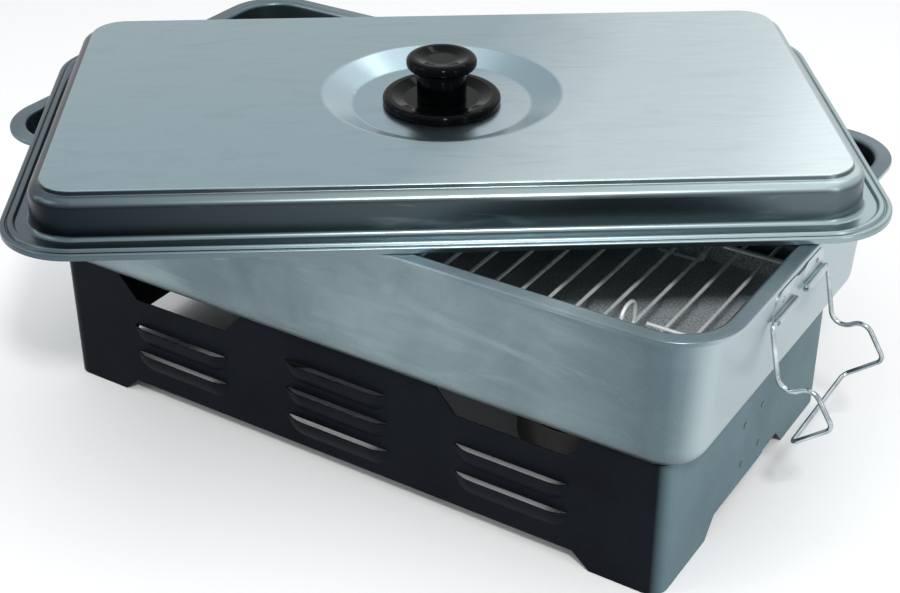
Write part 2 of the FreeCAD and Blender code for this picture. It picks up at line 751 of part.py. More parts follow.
def knob_grip():
    """Stem and mushroom head of the knob, bored for its insert."""
    base = DISH_FLOOR + SKIRT_HEIGHT - SKIRT_DISH
    top = DISH_FLOOR + KNOB_HEIGHT
    under = top - HEAD_HEIGHT
    bore = INSERT_RADIUS + KNOB_FIT
    bore_top = DISH_FLOOR + SCREW_REACH + BORE_SPARE
    rim = HEAD_RADIUS - HEAD_RIM
    points = [(bore, base, 0),
              (STEM_RADIUS, base, 0.6),
              (STEM_RADIUS, under, 1.2),
              (HEAD_RADIUS, under + HEAD_UNDER_SLOPE, HEAD_UNDER_ROUND),
              (HEAD_RADIUS, top, HEAD_TOP_ROUND),
              (rim, top, 2.5),
              (rim - HEAD_DISH_SLOPE, top - HEAD_DISH, 8.0),
              (0, top - HEAD_DISH, 0),
              (0, bore_top, 0),
              (bore, bore_top, 0)]
    return profile_face(points).revolve(vec(0, 0, 0), UP, 360)


def knob_insert():
    """Threaded insert in the middle of the knob."""
    height = INSERT_LENGTH
    start = vec(0, 0, DISH_FLOOR + SCREW_REACH + BORE_SPARE - height)
    outer = Part.makeCylinder(INSERT_RADIUS, height, start)
    return outer.cut(Part.makeCylinder(SCREW_RADIUS + KNOB_FIT, height, start))


def knob_washer():
    """Flat washer under the lid."""
    start = vec(0, 0, DISH_FLOOR - LID_SHEET - WASHER_SHEET)
    outer = Part.makeCylinder(WASHER_RADIUS, WASHER_SHEET, start)
    return outer.cut(Part.makeCylinder(SCREW_RADIUS + SCREW_HOLE_FIT, WASHER_SHEET, start))


def knob_screw():
    """Pan head screw from below, up into the insert."""
    seat = DISH_FLOOR - LID_SHEET - WASHER_SHEET
    head = Part.makeCylinder(SCREW_HEAD_RADIUS, SCREW_HEAD_HEIGHT, vec(0, 0, seat), UP * -1)
    low = [e for e in head.Edges if e.BoundBox.ZMax < seat - SCREW_HEAD_HEIGHT / 2]
    head = head.makeFillet(SCREW_HEAD_ROUND, low)
    shank = Part.makeCylinder(SCREW_RADIUS, DISH_FLOOR + SCREW_REACH - seat, vec(0, 0, seat))
    slot = Part.makeBox(2 * SCREW_HEAD_RADIUS, SCREW_SLOT, SCREW_SLOT_DEPTH,
                        vec(-SCREW_HEAD_RADIUS, -SCREW_SLOT / 2, seat - SCREW_HEAD_HEIGHT))
    return head.fuse(shank).removeSplitter().cut(slot)


# Burners

def burner_cup():
    """Round spirit cup with a flat lip."""
    skin = BURNER_SHEET
    path = [(-BURNER_RADIUS - BURNER_LIP, BURNER_HEIGHT, 0),
            (-BURNER_RADIUS + skin, BURNER_HEIGHT, skin + 0.5),
            (-BURNER_RADIUS + skin, skin, BURNER_FLOOR_ROUND - skin),
            (0, skin, 0)]
    return sheet_profile(path, skin).revolve(vec(0, 0, 0), UP, 360)


def burner_pad():
    """Absorbent pad in the cup."""
    radius = BURNER_RADIUS - BURNER_SHEET - PAD_GAP
    pad = Part.makeCylinder(radius, PAD_HEIGHT, vec(0, 0, BURNER_SHEET))
    low = [e for e in pad.Edges if e.BoundBox.ZMax < BURNER_SHEET + 0.1]
    return pad.makeFillet(BURNER_FLOOR_ROUND, low)


def burner_grille():
    """Perforated cover that lies on the cup's lip."""
    skin = BURNER_SHEET
    edge = BURNER_RADIUS + BURNER_LIP
    wall = BURNER_RADIUS - 2 * skin - PAD_GAP
    level = BURNER_HEIGHT + skin
    path = [(-edge, level, 0),
            (-wall, level, skin + 0.3),
            (-wall, level - GRILLE_DISH, skin + 0.3),
            (0, level - GRILLE_DISH, 0)]
    cover = sheet_profile(path, skin).revolve(vec(0, 0, 0), UP, 360)
    holes = [Part.makeCylinder(GRILLE_HOLE_RADIUS, 2 * BURNER_HEIGHT)]
    for ring in range(GRILLE_RING_COUNT):
        radius = GRILLE_RING_START + ring * GRILLE_RING_PITCH
        count = int(2 * math.pi * radius / GRILLE_HOLE_PITCH)
        for i in range(count):
            turn = 2 * math.pi * i / count
            place = vec(radius * math.cos(turn), radius * math.sin(turn), 0)
            holes.append(Part.makeCylinder(GRILLE_HOLE_RADIUS, 2 * BURNER_HEIGHT, place))
    return cover.cut(holes)


def placed(shape, x):
    """Copy of a shape moved along the stand."""
    copy = shape.copy()
    copy.translate(ALONG_X * x)
    return copy


def export(shape, name):
    shape.exportStep("parts/" + name + ".step")


def main():
    os.makedirs("parts", exist_ok=True)
    export(stand_front(), "base_front_shell")
    export(stand_back(), "base_back_shell")
    export(stand_welds(), "base_weld_spots")
    export(pan(), "pan")
    export(hinge_welds(), "hinge_weld_spots")
    export(drip_tray(), "drip_tray")
    export(rack_cross_wires(), "rack_cross_wires")
    export(rack_rails(), "rack_rails")
    export(rack_end_bows(), "rack_end_bows")
    export(rack_loops(), "rack_lifting_loops")
    export(rack_legs(), "rack_legs")
    export(lid(), "lid")
    export(knob_skirt(), "knob_skirt")
    export(knob_grip(), "knob_grip")
    export(knob_insert(), "knob_insert")
    export(knob_washer(), "knob_washer")
    export(knob_screw(), "knob_screw")
    for name, side in (("right", 1), ("left", -1)):
        export(hinge_plate(side), "hinge_plate_" + name)
        export(bail(side), "bail_" + name)
        export(placed(burner_cup(), side * BURNER_PLACE), "burner_cup_" + name)
        export(placed(burner_pad(), side * BURNER_PLACE), "burner_pad_" + name)
        export(placed(burner_grille(), side * BURNER_PLACE), "burner_grille_" + name)


main()
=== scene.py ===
import math

import bpy
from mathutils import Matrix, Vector

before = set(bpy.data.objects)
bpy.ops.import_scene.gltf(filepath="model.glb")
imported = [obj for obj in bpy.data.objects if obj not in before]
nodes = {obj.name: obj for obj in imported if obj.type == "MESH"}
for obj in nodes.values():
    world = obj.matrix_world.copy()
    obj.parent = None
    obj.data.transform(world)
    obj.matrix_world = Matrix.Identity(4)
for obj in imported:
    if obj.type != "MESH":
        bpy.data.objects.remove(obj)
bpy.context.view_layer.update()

# Camera
# A short telephoto that looks down on the smoker box from the front right, a
# little above the lid, fitted to the edges of the stand, the pan and the lid.
CAMERA_PLACE = (0.4146, -0.6486, 0.5184)
CAMERA_AZIMUTH = 32.27
CAMERA_PITCH = 30.96
CAMERA_LENS = 64.86
SENSOR_WIDTH = 36.0
NEAREST_SEEN = 0.01
LEVEL_TILT = 90.0

camera_data = bpy.data.cameras.new("camera")
camera_data.lens = CAMERA_LENS
camera_data.sensor_width = SENSOR_WIDTH
camera_data.clip_start = NEAREST_SEEN
camera = bpy.data.objects.new("camera", camera_data)
camera.location = CAMERA_PLACE
camera.rotation_euler = (math.radians(LEVEL_TILT - CAMERA_PITCH), 0, math.radians(CAMERA_AZIMUTH))
bpy.context.scene.collection.objects.link(camera)
bpy.context.scene.camera = camera
bpy.context.scene.view_settings.view_transform = "Standard"


# Floor and studio light
# A pale table top that runs out of sight. A small hard softbox stands high at
# the front right, a wide one hangs above, and weak lamps and strips fill in.
FLOOR_SIZE = 12.0
FLOOR_DROP = 0.0004
FLOOR_COLOUR = (0.945, 0.945, 0.945, 1)
WORLD_LIGHT = 0.60
WORLD_TINT = (0.97, 0.985, 1.0, 1)
WORLD_SEEN = (1, 1, 1, 1)
# Each lamp's name, place, the point it looks at, its width and height, and watts.
LAMPS = (
    ("softbox_front_right", (0.66, -0.80, 1.06), (0.1, -0.02, 0.1), (0.12, 0.12), 9.0),
    ("softbox_over", (0.1, 0.1, 1.7), (0, 0, 0.1), (1.9, 1.9), 7.0),
    ("reflector_back", (0.15, 1.2, 0.85), (0.12, 0, 0.15), (0.8, 0.6), 0.9),
    ("fill_front_left", (-0.9, -1.1, 1.1), (0, 0, 0.1), (0.7, 0.7), 3.0),
    ("strip_right", (1.1, -0.25, 0.45), (0, 0, 0.15), (0.10, 0.8), 1.2),
    ("strip_left", (-1.0, -0.5, 0.55), (0, 0, 0.15), (0.08, 0.8), 1.0),
    ("strip_over_back", (0.1, 0.8, 1.2), (0, 0, 0.15), (1.2, 0.08), 1.2),
)


def material(name):
    """Empty node material and its node tree."""
    made = bpy.data.materials.new(name)
    made.use_nodes = True
    made.node_tree.nodes.clear()
    return made, made.node_tree


def add(tree, kind, **settings):
    """Node of a kind with its settings and plain input values."""
    node = tree.nodes.new(kind)
    for key, value in settings.items():
        if key == "inputs":
            for socket, number in value.items():
                node.inputs[socket].default_value = number
        else:
            setattr(node, key, value)
    return node


floor_mesh = bpy.data.meshes.new("table_top")
half = FLOOR_SIZE / 2
floor_mesh.from_pydata([(-half, -half, 0), (half, -half, 0), (half, half, 0), (-half, half, 0)],
                       [], [(0, 1, 2, 3)])
floor = bpy.data.objects.new("table_top", floor_mesh)
floor.location.z = -FLOOR_DROP
bpy.context.scene.collection.objects.link(floor)

floor_material, tree = material("pale_table_top")
floor_shader = add(tree, "ShaderNodeBsdfDiffuse", inputs={"Color": FLOOR_COLOUR})
tree.links.new(floor_shader.outputs[0], add(tree, "ShaderNodeOutputMaterial").inputs["Surface"])
floor.data.materials.append(floor_material)

# The room lights the object softly, while the eye, metal and glass see it white.
world = bpy.data.worlds.new("studio")
bpy.context.scene.world = world
world.use_nodes = True
tree = world.node_tree
tree.nodes.clear()
link = tree.links.new
room = add(tree, "ShaderNodeBackground", inputs={"Color": WORLD_TINT, "Strength": WORLD_LIGHT})
plain = add(tree, "ShaderNodeBackground", inputs={"Color": WORLD_SEEN})
path = add(tree, "ShaderNodeLightPath")
seen = add(tree, "ShaderNodeMath", operation="MAXIMUM")
link(path.outputs["Is Camera Ray"], seen.inputs[0])
link(path.outputs["Is Glossy Ray"], seen.inputs[1])
shown = add(tree, "ShaderNodeMath", operation="MAXIMUM")
link(seen.outputs[0], shown.inputs[0])
link(path.outputs["Is Transmission Ray"], shown.inputs[1])
mix = add(tree, "ShaderNodeMixShader")
link(shown.outputs[0], mix.inputs[0])
link(room.outputs[0], mix.inputs[1])
link(plain.outputs[0], mix.inputs[2])
link(mix.outputs[0], add(tree, "ShaderNodeOutputWorld").inputs["Surface"])

for name, place, target, size, power in LAMPS:
    lamp_data = bpy.data.lights.new(name, "AREA")
    lamp_data.shape = "RECTANGLE"
    lamp_data.size, lamp_data.size_y = size
    lamp_data.energy = power
    lamp = bpy.data.objects.new(name, lamp_data)
    lamp.location = place
    way = Vector(target) - Vector(place)
    lamp.rotation_euler = way.to_track_quat("-Z", "Y").to_euler()
    bpy.context.scene.collection.objects.link(lamp)


# Stand
# Two bent halves of thin sheet steel with pressed louvres, overlapped and spot
# welded at the ends. The coating is black satin with dust and scuffs, and a
# painted reflection makes the end walls lighter.
STAND_COATING = (0.0035, 0.0048, 0.0075, 1)
STAND_END_PAINTED_REFLECTION = (0.118, 0.184, 0.208, 1)
STAND_END_DUSTY_REFLECTION = (0.09, 0.13, 0.15, 1)
STAND_DUST = (0.038, 0.048, 0.058, 1)
STAND_SCUFF = (0.024, 0.030, 0.038, 1)
STAND_GLOSS = 0.04
# A roughness pair is for a mask at 0 and at 1. A pair for grain, lines or folds is
# the strength of the bumps and their depth in metres.
STAND_ROUGHNESS = (0.34, 0.50)
STAND_GRAIN = (0.16, 0.0002)
# Both end walls, which carry the painted reflection, are told by how far they
# face outward times their distance from the middle, and by the square of that distance.
END_OUTWARD = (0.06, 0.175)
END_SQUARE = (0.0225, 0.033)
SPECK_LEVELS = (0.60, 0.74)
HAZE_SIZE = 14.0
HAZE_LEVELS = (0.38, 0.72)
EDGE_TURNS = (0.97, 0.80)
EDGE_BREAK_SIZE = 160.0
EDGE_BREAK_TOP = 0.65
FLOAT = "NodeSocketFloat"
VECTOR = "NodeSocketVector"


def group(name, inputs, outputs):
    """Shader node group with named sockets, the values given to it, and its output."""
    made = bpy.data.node_groups.new(name, "ShaderNodeTree")
    for socket, kind, value in inputs:
        item = made.interface.new_socket(socket, in_out="INPUT", socket_type=kind)
        if value is not None:
            item.default_value = value
    for socket, kind in outputs:
        made.interface.new_socket(socket, in_out="OUTPUT", socket_type=kind)
    return made, made.nodes.new("NodeGroupInput").outputs, made.nodes.new("NodeGroupOutput")


def spread(tree, value, low, high, start=0.0, end=1.0):
    """Value carried from one range to another, clamped."""
    node = add(tree, "ShaderNodeMapRange",
               inputs={"From Min": start, "From Max": end, "To Min": low, "To Max": high})
    tree.links.new(value, node.inputs["Value"])
    return node.outputs["Result"]


def rise(tree, value, levels):
    """Mask that goes from 0 to 1 between two levels of a value."""
    return spread(tree, value, 0.0, 1.0, *levels)


def joined(tree, operation, first, second):
    """Sum, product or larger of a socket and a socket or number."""
    node = add(tree, "ShaderNodeMath", operation=operation)
    tree.links.new(first, node.inputs[0])
    if isinstance(second, float):
        node.inputs[1].default_value = second
    else:
        tree.links.new(second, node.inputs[1])
    return node.outputs[0]


def times(tree, first, second):
    """Product of a socket and a socket or number."""
    return joined(tree, "MULTIPLY", first, second)


def parted(tree, vector):
    """The three coordinates of a vector socket."""
    node = add(tree, "ShaderNodeSeparateXYZ")
    tree.links.new(vector, node.inputs[0])
    return node.outputs


def facing(tree, axis):
    """How far the surface faces along an axis of the room, from -1 to 1."""
    return parted(tree, add(tree, "ShaderNodeNewGeometry").outputs["Normal"])[axis]


def noise(tree, vector, scale, **inputs):
    """Noise on a vector, with its scale as a socket or a number."""
    node = add(tree, "ShaderNodeTexNoise", inputs=inputs)
    tree.links.new(vector, node.inputs["Vector"])
    if isinstance(scale, float):
        node.inputs["Scale"].default_value = scale
    else:
        tree.links.new(scale, node.inputs["Scale"])
    return node.outputs["Fac"]


def dust_group():
    """Fine scattered specks, a soft haze, and the small bumps of the surface."""
    tree, given, made = group(
        "dust_and_grain",
        [("Place", VECTOR, None), ("Speck Size", FLOAT, 900.0), ("Amount", FLOAT, 0.5),
         ("Grain Size", FLOAT, 1800.0)],
        [("Specks", FLOAT), ("Haze", FLOAT), ("Grain", FLOAT)])
    specks = noise(tree, given["Place"], given["Speck Size"], Detail=3.0, Roughness=0.75)
    haze = noise(tree, given["Place"], HAZE_SIZE, Detail=5.0, Roughness=0.62)
    grain = noise(tree, given["Place"], given["Grain Size"], Detail=2.0)
    dusty = times(tree, rise(tree, specks, SPECK_LEVELS), given["Amount"])
    tree.links.new(dusty, made.inputs["Specks"])
    tree.links.new(rise(tree, haze, HAZE_LEVELS), made.inputs["Haze"])
    tree.links.new(grain, made.inputs["Grain"])
    return tree


def edge_wear_group():
    """Mask of convex edges where handling has rubbed the surface."""
    tree, given, made = group(
        "rubbed_edges",
        [("Width", FLOAT, 0.0012), ("Break Up", FLOAT, 0.5)],
        [("Edge", FLOAT)])
    link = tree.links.new
    bevel = add(tree, "ShaderNodeBevel", samples=6)
    link(given["Width"], bevel.inputs["Radius"])
    turned = add(tree, "ShaderNodeVectorMath", operation="DOT_PRODUCT")
    link(bevel.outputs["Normal"], turned.inputs[0])
    link(add(tree, "ShaderNodeNewGeometry").outputs["Normal"], turned.inputs[1])
    place = add(tree, "ShaderNodeTexCoord").outputs["Object"]
    broken = add(tree, "ShaderNodeMapRange", inputs={"From Max": EDGE_BREAK_TOP})
    link(given["Break Up"], broken.inputs["From Min"])
    link(noise(tree, place, EDGE_BREAK_SIZE, Detail=4.0), broken.inputs["Value"])
    edge = times(tree, rise(tree, turned.outputs["Value"], EDGE_TURNS), broken.outputs["Result"])
    link(edge, made.inputs["Edge"])
    return tree


DUST = dust_group()
RUBBED_EDGES = edge_wear_group()


def use(tree, made, place, **values):
    """Outputs of a group set on coordinates, with its plain values."""
    node = tree.nodes.new("ShaderNodeGroup")
    node.node_tree = made
    if place is not None:
        tree.links.new(place, node.inputs["Place"])
    for socket, number in values.items():
        node.inputs[socket.replace("_", " ")].default_value = number
    return node.outputs


def blend_colour(tree, mask, low, high):
    """Colour mix; low and high are colours or sockets, mask a socket."""
    # The mix node has sockets of the same name for each kind, so they go by number.
    mix = add(tree, "ShaderNodeMix", data_type="RGBA")
    tree.links.new(mask, mix.inputs[0])
    for socket, value in ((mix.inputs[6], low), (mix.inputs[7], high)):
        if isinstance(value, tuple):
            socket.default_value = value
        else:
            tree.links.new(value, socket)
    return mix.outputs[2]


def cover(tree, colour, over, mask, share, levels=(0.0, 1.0)):
    """Colour with another laid over it, up to a share, as the mask rises."""
    return blend_colour(tree, spread(tree, mask, 0.0, share, *levels), colour, over)


def bump(tree, height, strength, distance, normal=None):
    """Bump node on a height."""
    node = add(tree, "ShaderNodeBump", inputs={"Strength": strength, "Distance": distance})
    tree.links.new(height, node.inputs["Height"])
    if normal is not None:
        tree.links.new(normal, node.inputs["Normal"])
    return node.outputs["Normal"]


def surface(tree, plain, colour, rough=None, normal=None):
    """Principled surface with its plain values and its linked sockets."""
    shader = add(tree, "ShaderNodeBsdfPrincipled", inputs=plain)
    for socket, value in (("Base Color", colour), ("Roughness", rough), ("Normal", normal)):
        if value is not None:
            tree.links.new(value, shader.inputs[socket])
    tree.links.new(shader.outputs[0], add(tree, "ShaderNodeOutputMaterial").inputs["Surface"])


def coat(made, *names):
    """Puts one material on every slot of some CAD nodes."""
    for name in names:
        mesh = nodes[name].data
        if not mesh.materials:
            mesh.materials.append(made)
        for i in range(len(mesh.materials)):
            mesh.materials[i] = made


stand_material, tree = material("black_satin_coating")
place = add(tree, "ShaderNodeTexCoord").outputs["Object"]
along = parted(tree, place)["X"]
dust = use(tree, DUST, place, Speck_Size=520.0, Amount=0.55, Grain_Size=1500.0)
edges = use(tree, RUBBED_EDGES, None, Width=0.0009, Break_Up=0.42)
# Painted reflection: both end walls get a lighter blue-grey colour, with dust haze on it.
painted_end_reflection_mask = times(tree, rise(tree, times(tree, facing(tree, "X"), along), END_OUTWARD),
                 rise(tree, times(tree, along, along), END_SQUARE))
colour = cover(tree, STAND_COATING, STAND_DUST, dust["Haze"], share=0.10)
colour = cover(tree, colour, STAND_DUST, dust["Specks"], share=0.3)
painted_end_reflection = cover(tree, STAND_END_PAINTED_REFLECTION, STAND_END_DUSTY_REFLECTION, dust["Haze"], share=0.45)
colour = blend_colour(tree, painted_end_reflection_mask, colour, painted_end_reflection)
colour = cover(tree, colour, STAND_SCUFF, edges["Edge"], share=0.6)
surface(tree, {"Specular IOR Level": STAND_GLOSS}, colour,
        spread(tree, dust["Haze"], *STAND_ROUGHNESS), bump(tree, dust["Grain"], *STAND_GRAIN))
coat(stand_material, "base_front_shell", "base_back_shell", "base_weld_spots")


# Burners
# Two spun steel spirit cups that stand on the table inside the stand, each
# filled with a mineral wool pad under a punched cover that lies on its lip.
BURNER_STEEL = (0.17, 0.178, 0.185, 1)
BURNER_TINT = (0.11, 0.088, 0.062, 1)
BURNER_ROUGHNESS = (0.28, 0.5)
BURNER_LINES = (0.2, 0.0002)
PAD_WOOL = (0.66, 0.63, 0.56, 1)
PAD_SHADE = (0.40, 0.37, 0.32, 1)
PAD_ROUGHNESS = 0.95
PAD_CLUMPS = (0.8, 0.001)
PATCH_LEVELS = (0.34, 0.70)
STREAK_LEVELS = (0.52, 0.74)
BROAD_LINE_RATIO = 0.16
BARE_METAL = {"Metallic": 1.0}


def smudge_and_glint_group():
    """Finger marks and wipe marks: soft patches and thin curved streaks; on the lid's walls the
    streaks are painted glints.
    """
    tree, given, made = group(
        "smudges_wipes_and_glints",
        [("Place", VECTOR, None), ("Patch Size", FLOAT, 9.0), ("Streak Size", FLOAT, 60.0),
         ("Streak Stretch", FLOAT, 8.0)],
        [("Patches", FLOAT), ("Streaks", FLOAT)])
    patches = noise(tree, given["Place"], given["Patch Size"],
                    Detail=6.0, Roughness=0.6, Distortion=0.7)
    tree.links.new(rise(tree, patches, PATCH_LEVELS), made.inputs["Patches"])
    own = parted(tree, given["Place"])
    squeezed = add(tree, "ShaderNodeCombineXYZ")
    tree.links.new(own["X"], squeezed.inputs["X"])
    tree.links.new(times(tree, own["Y"], given["Streak Stretch"]), squeezed.inputs["Y"])
    tree.links.new(own["Z"], squeezed.inputs["Z"])
    streaks = noise(tree, squeezed.outputs[0], given["Streak Size"],
                    Detail=3.0, Roughness=0.5, Distortion=1.4)
    tree.links.new(rise(tree, streaks, STREAK_LEVELS), made.inputs["Streaks"])
    return tree


def brushed_group():
    """Fine and broad parallel lines left by rolls or a polishing belt."""
    tree, given, made = group(
        "belt_polish_lines",
        [("Place", VECTOR, None), ("Stretch", VECTOR, (1.0, 1.0, 1.0)),
         ("Line Size", FLOAT, 900.0)],
        [("Lines", FLOAT), ("Broad Lines", FLOAT)])
    scaled = add(tree, "ShaderNodeVectorMath", operation="MULTIPLY")
    tree.links.new(given["Place"], scaled.inputs[0])
    tree.links.new(given["Stretch"], scaled.inputs[1])
    fine = noise(tree, scaled.outputs[0], given["Line Size"], Detail=2.0, Roughness=0.6)
    tree.links.new(fine, made.inputs["Lines"])
    broad_size = times(tree, given["Line Size"], BROAD_LINE_RATIO)
    broad = noise(tree, scaled.outputs[0], broad_size, Detail=3.0, Roughness=0.55)
    tree.links.new(broad, made.inputs["Broad Lines"])
    return tree


SMUDGES_AND_GLINTS = smudge_and_glint_group()
POLISH_LINES = brushed_group()

burner_material, tree = material("spun_burner_steel")
place = add(tree, "ShaderNodeTexCoord").outputs["Object"]
marks = use(tree, SMUDGES_AND_GLINTS, place, Patch_Size=26.0, Streak_Size=120.0)
lines = use(tree, POLISH_LINES, place, Stretch=(1.0, 1.0, 14.0), Line_Size=160.0)
surface(tree, BARE_METAL, cover(tree, BURNER_STEEL, BURNER_TINT, marks["Patches"], share=0.6),
        spread(tree, lines["Lines"], *BURNER_ROUGHNESS),
        bump(tree, lines["Lines"], *BURNER_LINES))

pad_material, tree = material("mineral_wool")
place = add(tree, "ShaderNodeTexCoord").outputs["Object"]
fibres = use(tree, POLISH_LINES, place, Stretch=(1.0, 5.0, 2.0), Line_Size=420.0)
clumps = use(tree, DUST, place, Speck_Size=240.0, Amount=1.0, Grain_Size=700.0)
surface(tree, {"Roughness": PAD_ROUGHNESS},
        blend_colour(tree, fibres["Lines"], PAD_SHADE, PAD_WOOL),
        normal=bump(tree, clumps["Grain"], *PAD_CLUMPS))

for side in ("right", "left"):
    coat(burner_material, "burner_cup_" + side, "burner_grille_" + side)
    coat(pad_material, "burner_pad_" + side)


# Pan
# One deep-drawn stainless pan with a flat flange and a turned-down hem. It is
# dull from the press and wiped along its walls. Painted shade darkens it round
# its right corners and at the left end, and a painted reflection brightens the
# right end wall.
PAN_BRIGHT = (0.285, 0.365, 0.390, 1)
PAN_DULL = (0.135, 0.185, 0.208, 1)
PAN_PAINTED_SHADE = (0.068, 0.102, 0.120, 1)
PAN_END_PAINTED_REFLECTION = (0.44, 0.525, 0.545, 1)
PAN_SPECK = (0.50, 0.58, 0.61, 1)
PAN_ROUGHNESS = (0.42, 0.32)
PAN_LINES = (0.08, 0.0003)
PAN_FOLDS = (0.10, 0.0015)
PAN_GRAIN = (0.05, 0.0002)
WIPE_STRETCH = (1.0, 1.0, 4.0)
PAN_END_FACING = (0.62, 0.98)
PAN_END_REACH = (0.10, 0.16)
CORNER_SHADE_REACH = (0.128, 0.176)
CORNER_SHADE_FACING = (0.35, 0.92)
LEFT_SHADE_REACH = (-0.195, -0.120)
LEFT_SHADE_SHARE = 0.85
FOLD_LEVELS = (0.50, 0.68)
WIPE_LEVELS = (0.45, 1.0)


def fall(tree, value, levels):
    """Mask that goes from 1 to 0 between two levels of a value."""
    return spread(tree, value, 1.0, 0.0, *levels)


def stretched(tree, place, factors):
    """Coordinates scaled along each axis."""
    node = add(tree, "ShaderNodeVectorMath", operation="MULTIPLY")
    tree.links.new(place, node.inputs[0])
    node.inputs[1].default_value = factors
    return node.outputs[0]


pan_material, tree = material("drawn_stainless")
place = add(tree, "ShaderNodeTexCoord").outputs["Object"]
marks = use(tree, SMUDGES_AND_GLINTS, place, Patch_Size=9.0, Streak_Size=34.0, Streak_Stretch=5.0)
lines = use(tree, POLISH_LINES, place, Stretch=(1.0, 1.0, 9.0), Line_Size=330.0)
folds = use(tree, POLISH_LINES, place, Stretch=(1.0, 1.0, 0.12), Line_Size=90.0)
dust = use(tree, DUST, place, Speck_Size=700.0, Amount=0.6, Grain_Size=1300.0)
wipes = use(tree, SMUDGES_AND_GLINTS, stretched(tree, place, WIPE_STRETCH),
            Patch_Size=11.0, Streak_Size=13.0, Streak_Stretch=1.0)
side = facing(tree, "X")
along = parted(tree, place)["X"]
# Painted reflection: the right end wall is brightened.
painted_end_reflection_mask = times(tree, rise(tree, side, PAN_END_FACING), rise(tree, along, PAN_END_REACH))
# Painted shade: bands round the right corners and the left end are darkened.
painted_corner_shade = times(tree, rise(tree, along, CORNER_SHADE_REACH), fall(tree, side, CORNER_SHADE_FACING))
painted_left_shade = spread(tree, along, LEFT_SHADE_SHARE, 0.0, *LEFT_SHADE_REACH)
colour = cover(tree, PAN_DULL, PAN_BRIGHT, marks["Patches"], share=0.8)
colour = cover(tree, colour, PAN_DULL, folds["Broad Lines"], share=0.22, levels=FOLD_LEVELS)
colour = cover(tree, colour, PAN_BRIGHT, wipes["Patches"], share=0.75, levels=WIPE_LEVELS)
colour = cover(tree, colour, PAN_DULL, wipes["Streaks"], share=0.45)
painted_end_reflection = cover(tree, PAN_END_PAINTED_REFLECTION, PAN_BRIGHT, marks["Patches"], share=0.3)
colour = blend_colour(tree, painted_end_reflection_mask, colour, painted_end_reflection)
colour = cover(tree, colour, PAN_PAINTED_SHADE, painted_corner_shade, share=0.72)
colour = blend_colour(tree, painted_left_shade, colour, PAN_PAINTED_SHADE)
colour = cover(tree, colour, PAN_SPECK, dust["Specks"], share=0.25)
normal = bump(tree, lines["Lines"], *PAN_LINES)
normal = bump(tree, folds["Broad Lines"], *PAN_FOLDS, normal)
normal = bump(tree, dust["Grain"], *PAN_GRAIN, normal)
surface(tree, BARE_METAL, colour, spread(tree, marks["Patches"], *PAN_ROUGHNESS), normal)
coat(pan_material, "pan")


# Hinge plates and bails
# A folded stainless plate is spot welded high on each end wall, and its rolled
# knuckles hold the ends of a bail bent from one bright steel wire.
HINGE_STEEL = (0.62, 0.70, 0.72, 1)
HINGE_ROUGHNESS = (0.26, 0.46)
HINGE_LINES = (0.12, 0.0002)
WELD_TINT = (0.20, 0.21, 0.22, 1)
WELD_ROUGHNESS = (0.35, 0.6)
WIRE_BRIGHT = (0.60, 0.66, 0.68, 1)
WIRE_DULL = (0.25, 0.29, 0.31, 1)
WIRE_ROUGHNESS = (0.22, 0.12)
WIRE_GRAIN = (0.06, 0.0001)

hinge_material, tree = material("folded_hinge_steel")
place = add(tree, "ShaderNodeTexCoord").outputs["Object"]
marks = use(tree, SMUDGES_AND_GLINTS, place, Patch_Size=40.0, Streak_Size=90.0)
lines = use(tree, POLISH_LINES, place, Stretch=(1.0, 0.12, 1.0), Line_Size=900.0)
surface(tree, BARE_METAL, cover(tree, HINGE_STEEL, PAN_DULL, marks["Patches"], share=0.5),
        spread(tree, lines["Lines"], *HINGE_ROUGHNESS), bump(tree, lines["Lines"], *HINGE_LINES))

weld_material, tree = material("spot_weld_mark")
place = add(tree, "ShaderNodeTexCoord").outputs["Object"]
marks = use(tree, SMUDGES_AND_GLINTS, place, Patch_Size=300.0, Streak_Size=500.0)
surface(tree, BARE_METAL, blend_colour(tree, marks["Patches"], WELD_TINT, HINGE_STEEL),
        spread(tree, marks["Patches"], *WELD_ROUGHNESS))

wire_material, tree = material("bright_drawn_wire")
place = add(tree, "ShaderNodeTexCoord").outputs["Object"]
marks = use(tree, SMUDGES_AND_GLINTS, place, Patch_Size=70.0, Streak_Size=240.0)
dust = use(tree, DUST, place, Speck_Size=1100.0, Amount=0.8, Grain_Size=2400.0)
surface(tree, BARE_METAL, blend_colour(tree, marks["Patches"], WIRE_DULL, WIRE_BRIGHT),
        spread(tree, marks["Patches"], *WIRE_ROUGHNESS), bump(tree, dust["Grain"], *WIRE_GRAIN))

for side in ("right", "left"):
    coat(hinge_material, "hinge_plate_" + side)
    coat(wire_material, "bail_" + side)
coat(weld_material, "hinge_weld_spots")


# Drip tray
# A shallow pressed tray that lies loose on the pan's floor under the rack. Its
# grained surface is dull and light, with a fine speckle, and painted shade
# darkens it away from the front right corner.
TRAY_LIGHT = (0.80, 0.88, 0.89, 1)
TRAY_DARK = (0.36, 0.41, 0.43, 1)
TRAY_PAINTED_SHADE = (0.060, 0.064, 0.066, 1)
TRAY_METALLIC = 0.25
TRAY_ROUGHNESS = (0.55, 0.72)
TRAY_GRAIN = (0.25, 0.0003)
SPECKLE_LEVELS = (0.35, 0.62)
SHADE_SLANT = -0.9
SHADE_WANDER = 0.035
SHADE_REACH = (-0.010, 0.085)
SHADE_SHARE = 0.72


def plus(tree, first, second):
    """Sum of a socket and a socket or number."""
    return joined(tree, "ADD", first, second)


